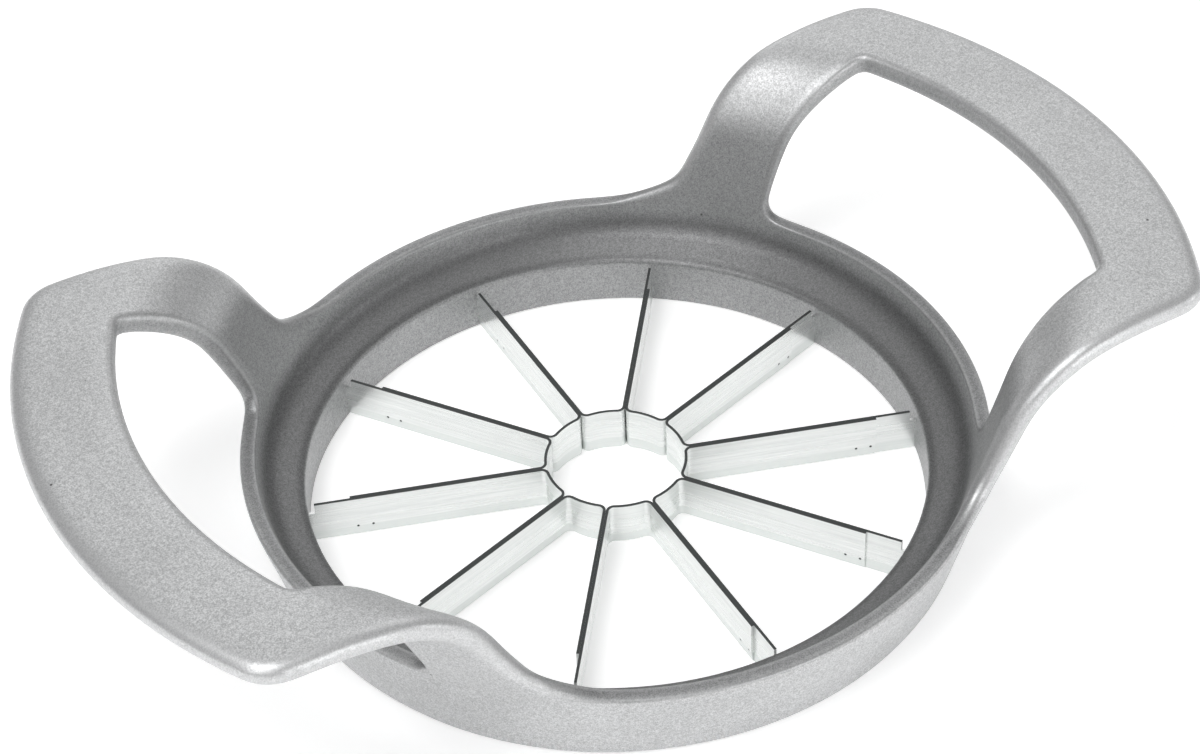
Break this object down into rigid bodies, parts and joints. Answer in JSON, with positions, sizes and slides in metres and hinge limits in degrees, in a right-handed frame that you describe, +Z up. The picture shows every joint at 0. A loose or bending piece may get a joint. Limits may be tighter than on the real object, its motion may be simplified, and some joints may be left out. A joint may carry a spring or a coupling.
{
  "type": "apple divider",
  "caption": "Round cast metal fruit divider with two raised loop handles and a star of thin steel blades that meet in a core ring.",
  "frame": {"origin": "middle of the ring's flat underside, on the axis of the ring", "axes": "+X from the middle to the right handle in the picture, +Y away from the viewer, +Z up"},
  "size_m": [0.1644, 0.1074, 0.0386],
  "materials": {
    "cast_aluminium": "satin, fine grained as cast",
    "blade_steel": "brushed strip"
  },
  "bodies": {
    "root": {"frame_casting": "cast_aluminium", "blade_strip_01": "blade_steel", "blade_strip_02": "blade_steel", "blade_strip_03": "blade_steel", "blade_strip_04": "blade_steel", "blade_strip_05": "blade_steel", "blade_strip_06": "blade_steel", "blade_strip_07": "blade_steel", "blade_strip_08": "blade_steel", "blade_strip_09": "blade_steel", "blade_strip_10": "blade_steel"}
  },
  "joints": []
}
